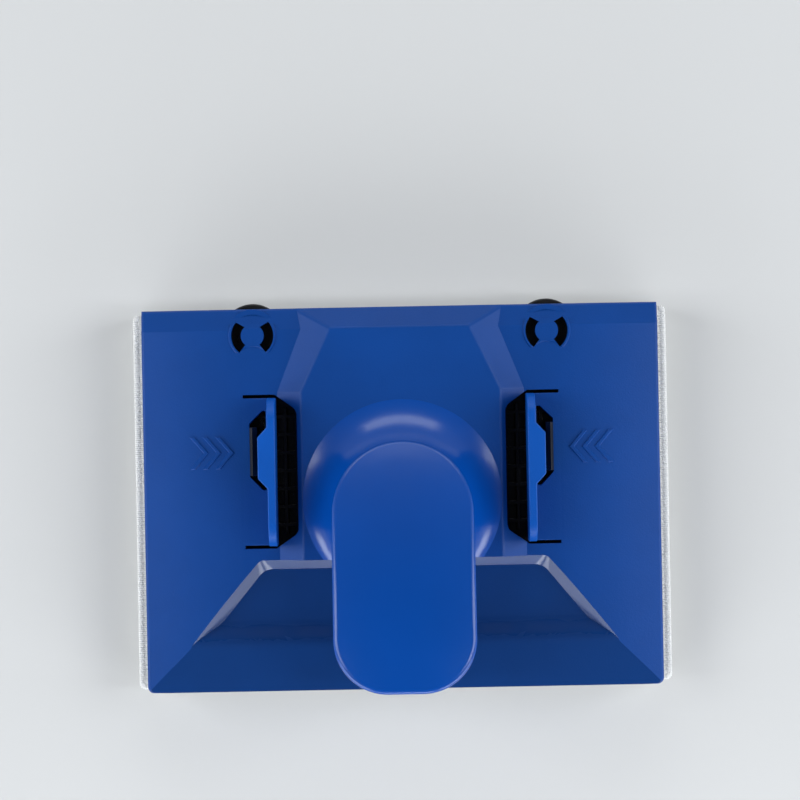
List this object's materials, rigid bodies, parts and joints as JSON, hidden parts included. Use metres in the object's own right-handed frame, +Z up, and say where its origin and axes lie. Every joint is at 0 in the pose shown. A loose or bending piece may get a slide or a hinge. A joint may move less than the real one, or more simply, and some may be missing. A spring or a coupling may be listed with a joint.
{
  "type": "paint pad edger",
  "caption": "Hand tool for painting straight edges: grip on a moulded plate, guide wheels along one edge and squeeze tabs that drop a flocked pad",
  "frame": {"origin": "centre of the pad's painting face, on the face", "axes": "+X across the tool, the long side of the pad; +Y towards the edge with the guide wheels; +Z up through the handle"},
  "size_m": [0.127, 0.0916, 0.0461],
  "materials": {
    "plate_plastic": "fine grained moulded plastic",
    "grip_plastic": "polished moulded plastic",
    "black_plastic": "moulded plastic",
    "foam": "soft open-cell foam",
    "pile": "short flocked pile"
  },
  "bodies": {
    "shell": {"base_plate": "plate_plastic", "handle": "grip_plastic"},
    "tab_left": {"squeeze_tab_left": "plate_plastic"},
    "tab_right": {"squeeze_tab_right": "plate_plastic"},
    "wheel_left": {"guide_wheel_left": "black_plastic"},
    "wheel_right": {"guide_wheel_right": "black_plastic"},
    "pad": {"pad_carrier": "black_plastic", "pad_foam": "foam", "pad_pile": "pile"}
  },
  "joints": [
    {"name": "tab_left_hinge", "type": "hinge", "parent": "shell", "child": "tab_left", "pos_m": [-0.0369, 0.0069, 0.0165], "axis": [0, 1, 0], "range_deg": [0, 12], "stiffness_Nm_per_rad": 0.3},
    {"name": "tab_right_hinge", "type": "hinge", "parent": "shell", "child": "tab_right", "pos_m": [0.0369, 0.0069, 0.0165], "axis": [0, -1, 0], "range_deg": [0, 12], "stiffness_Nm_per_rad": 0.3},
    {"name": "wheel_left_spin", "type": "hinge", "parent": "shell", "child": "wheel_left", "pos_m": [-0.0347, 0.039, 0.012], "axis": [0, 0, 1], "continuous": true},
    {"name": "wheel_right_spin", "type": "hinge", "parent": "shell", "child": "wheel_right", "pos_m": [0.0347, 0.039, 0.012], "axis": [0, 0, 1], "continuous": true},
    {"name": "pad_release", "type": "slide", "parent": "shell", "child": "pad", "axis": [0, 0, -1], "range_m": [0, 0.045]}
  ]
}
